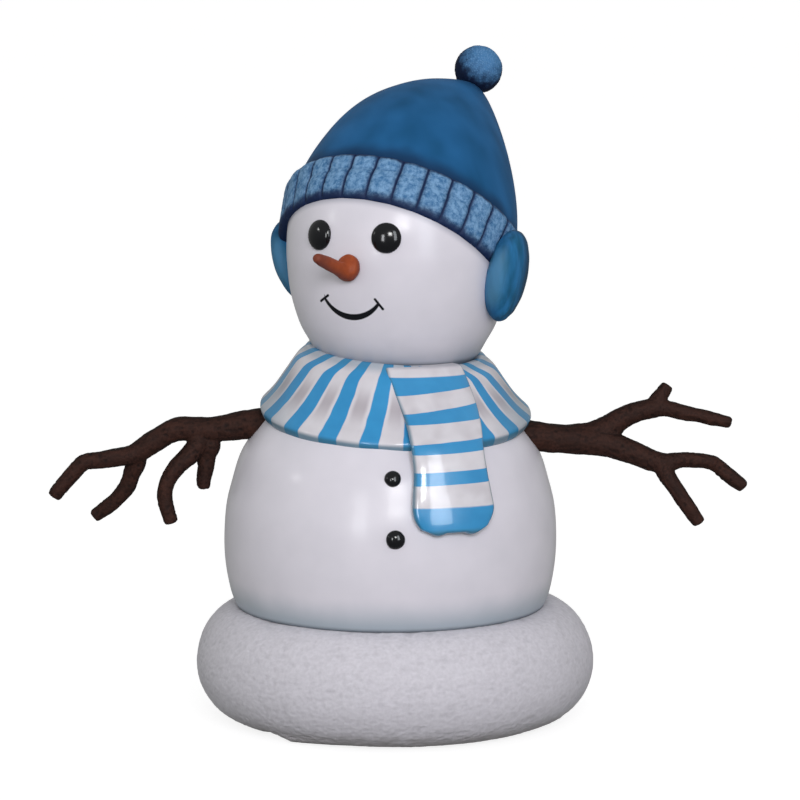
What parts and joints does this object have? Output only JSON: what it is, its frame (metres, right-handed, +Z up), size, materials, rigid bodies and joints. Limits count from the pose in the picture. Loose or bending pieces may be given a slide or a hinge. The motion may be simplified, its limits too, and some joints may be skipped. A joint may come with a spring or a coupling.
{
  "type": "snowman figure",
  "caption": "Standing painted snowman figure with a blue knitted-look hat, a striped scarf, stick arms, a carrot nose and a round drift of snow as its foot.",
  "frame": {"origin": "centre of the drift's flat underside", "axes": "+Z up, -Y to the figure's front, +X to the right of someone who stands in front of it"},
  "size_m": [1.2529, 0.714, 1.1915],
  "materials": {
    "snow_gloss": "gloss",
    "snow_stipple": "matte",
    "hat_blue": "satin",
    "scarf_blue": "gloss",
    "black_gloss": "gloss",
    "carrot": "satin",
    "bark": "matte"
  },
  "bodies": {
    "root": {"snow_base": "snow_stipple", "body": "snow_gloss", "head": "snow_gloss", "hat_crown": "hat_blue", "hat_cuff": "hat_blue", "pompom": "hat_blue", "ear_flap_left": "hat_blue", "ear_flap_right": "hat_blue", "nose": "carrot", "eye_left": "black_gloss", "eye_right": "black_gloss", "button_upper": "black_gloss", "button_lower": "black_gloss", "scarf_collar": "scarf_blue", "scarf_tail": "scarf_blue", "arm_left_limb": "bark", "arm_left_outer_twig": "bark", "arm_left_inner_twig": "bark", "arm_left_drop_twig": "bark", "arm_left_spur": "bark", "arm_right_limb": "bark", "arm_right_upper_branch": "bark", "arm_right_stub": "bark", "arm_right_upper_twig": "bark", "arm_right_lower_branch": "bark", "arm_right_long_twig": "bark", "arm_right_drop_twig": "bark"}
  },
  "joints": []
}
